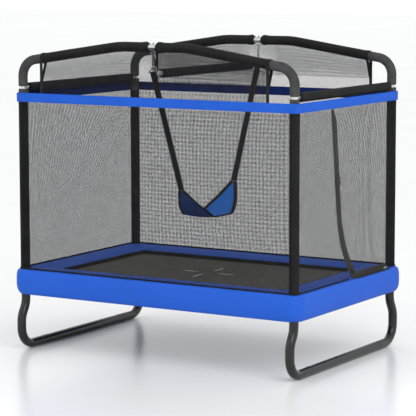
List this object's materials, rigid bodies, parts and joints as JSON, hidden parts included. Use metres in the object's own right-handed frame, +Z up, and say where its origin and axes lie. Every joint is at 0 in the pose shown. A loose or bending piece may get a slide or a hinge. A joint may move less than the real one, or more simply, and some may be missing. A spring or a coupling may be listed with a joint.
{
  "type": "trampoline",
  "caption": "Rectangular child's trampoline with sled legs, padded cover, safety net with zipped door, two arches, hanging sling swing and padded gym bar.",
  "frame": {"origin": "on the ground under the middle of the mat", "axes": "+X along the long side towards the door, +Y to the back, +Z up"},
  "size_m": [1.83, 1.262, 1.742],
  "materials": {
    "leg_paint": "dark grey gloss powder coat",
    "frame_steel": "galvanised tube",
    "bright_steel": "zinc plated",
    "bush_plastic": "moulded",
    "clip_plastic": "moulded",
    "slider_metal": "die cast, painted grey",
    "grey_foam": "foam tube with a fine raised grain",
    "black_fabric": "smooth woven polyester over foam",
    "net_mesh": "knitted mesh, mostly open",
    "black_webbing": "woven webbing",
    "pad_blue": "coated fabric over foam",
    "band_blue": "woven tape, navy inside",
    "mat_black": "dense woven polypropylene",
    "seat_blue": "coated fabric, navy outside, blue inside"
  },
  "bodies": {
    "frame": {"arch_crown_back": "frame_steel", "arch_crown_front": "frame_steel", "arch_elbows": "frame_steel", "arch_sleeves_back": "black_fabric", "arch_sleeves_front": "black_fabric", "bar_clamps": "bright_steel", "cross_bar_foam_left": "black_fabric", "cross_bar_foam_right": "black_fabric", "cross_bars": "frame_steel", "crown_foams": "grey_foam", "elbow_foams": "grey_foam", "eye_bolts": "bright_steel", "foot_tube_left": "leg_paint", "foot_tube_right": "leg_paint", "frame_corners": "frame_steel", "frame_rail_back": "frame_steel", "frame_rail_front": "frame_steel", "frame_rail_left": "frame_steel", "frame_rail_right": "frame_steel", "frame_screws": "bright_steel", "leg_bend_left_back": "leg_paint", "leg_bend_left_front": "leg_paint", "leg_bend_right_back": "leg_paint", "leg_bend_right_front": "leg_paint", "net_back": "net_mesh", "net_front": "net_mesh", "net_left": "net_mesh", "net_right": "net_mesh", "pad_cover": "pad_blue", "pole_pockets": "black_fabric", "post_bushes": "bush_plastic", "post_foams": "grey_foam", "posts": "frame_steel", "springs_back": "bright_steel", "springs_front": "bright_steel", "springs_left": "bright_steel", "springs_right": "bright_steel", "top_band": "band_blue", "upper_net_back": "net_mesh", "upper_net_front": "net_mesh", "zipper_tape_net": "black_webbing"},
    "mat": {"mat": "mat_black", "mat_edge_tape": "black_webbing", "mat_rings": "bright_steel"},
    "hanger": {"shackles": "bright_steel", "chains": "bright_steel", "shackle_pins": "bright_steel", "gym_bar": "frame_steel", "gym_bar_foam": "black_fabric"},
    "swing": {"strap_rings": "bright_steel", "swing_strap_front": "black_webbing", "swing_strap_back": "black_webbing", "seat": "seat_blue", "seat_edge_tapes": "black_webbing"},
    "door": {"door_net": "net_mesh", "zipper_tape_door": "black_webbing", "zipper_clip": "clip_plastic"},
    "slider_upper": {"zipper_slider_upper": "clip_plastic"},
    "slider_lower": {"zipper_slider_lower": "slider_metal"}
  },
  "joints": [
    {"name": "mat_bounce", "type": "slide", "parent": "frame", "child": "mat", "axis": [0, 0, 1], "range_m": [-0.1, 0], "stiffness_N_per_m": 8000, "springref_m": 0.006, "deforming": ["springs_front", "springs_back", "springs_left", "springs_right"]},
    {"name": "hanger_swing", "type": "hinge", "parent": "frame", "child": "hanger", "pos_m": [0, 0, 1.686], "axis": [0, 1, 0], "range_deg": [-15, 15]},
    {"name": "seat_swing", "type": "hinge", "parent": "hanger", "child": "swing", "pos_m": [0, 0, 1.6022], "axis": [0, 1, 0], "range_deg": [-35, 35]},
    {"name": "door_fold", "type": "hinge", "parent": "frame", "child": "door", "pos_m": [0.8865, 0.142, 0.93075], "axis": [0, -0.5766, 0.817], "range_deg": [0, 110]},
    {"name": "upper_slider_slide", "type": "slide", "parent": "door", "child": "slider_upper", "axis": [0, -0.6924, 0.7215], "range_m": [0, 0.05]},
    {"name": "lower_slider_slide", "type": "slide", "parent": "door", "child": "slider_lower", "axis": [0, -1, 0], "range_m": [0, 0.3]}
  ]
}
